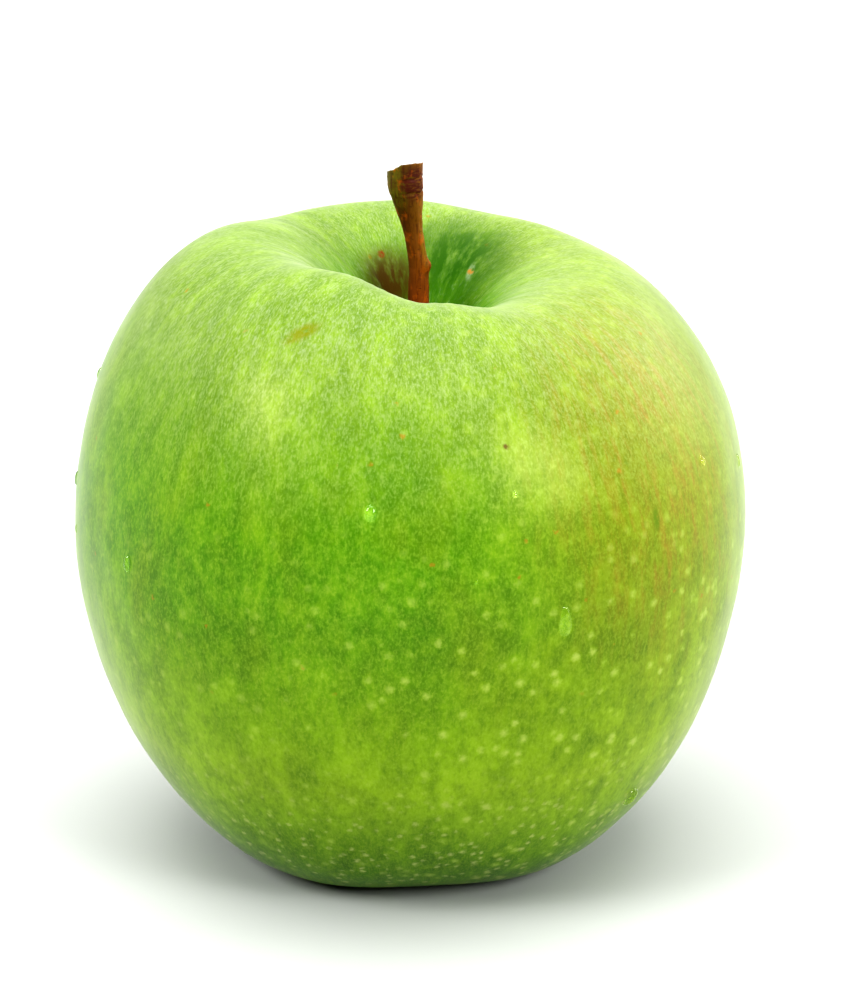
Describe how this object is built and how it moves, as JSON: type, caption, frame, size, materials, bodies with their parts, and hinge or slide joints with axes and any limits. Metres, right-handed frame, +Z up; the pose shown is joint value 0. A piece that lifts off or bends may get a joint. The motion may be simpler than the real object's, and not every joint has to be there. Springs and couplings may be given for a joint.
{
  "type": "green apple",
  "caption": "Whole green apple with its stem, lobed shoulders and dried calyx, standing on its base.",
  "frame": {"origin": "on the surface that the apple rests on, under the middle of its bounding box", "axes": "+Z up along the core, -Y towards the camera of the picture, +X to the right as the picture shows it"},
  "size_m": [0.0746, 0.0744, 0.0783],
  "materials": {
    "skin": "satin",
    "stem": "matte",
    "calyx": "matte"
  },
  "bodies": {
    "root": {"fruit": "skin", "stem": "stem", "calyx": "calyx"}
  },
  "joints": []
}
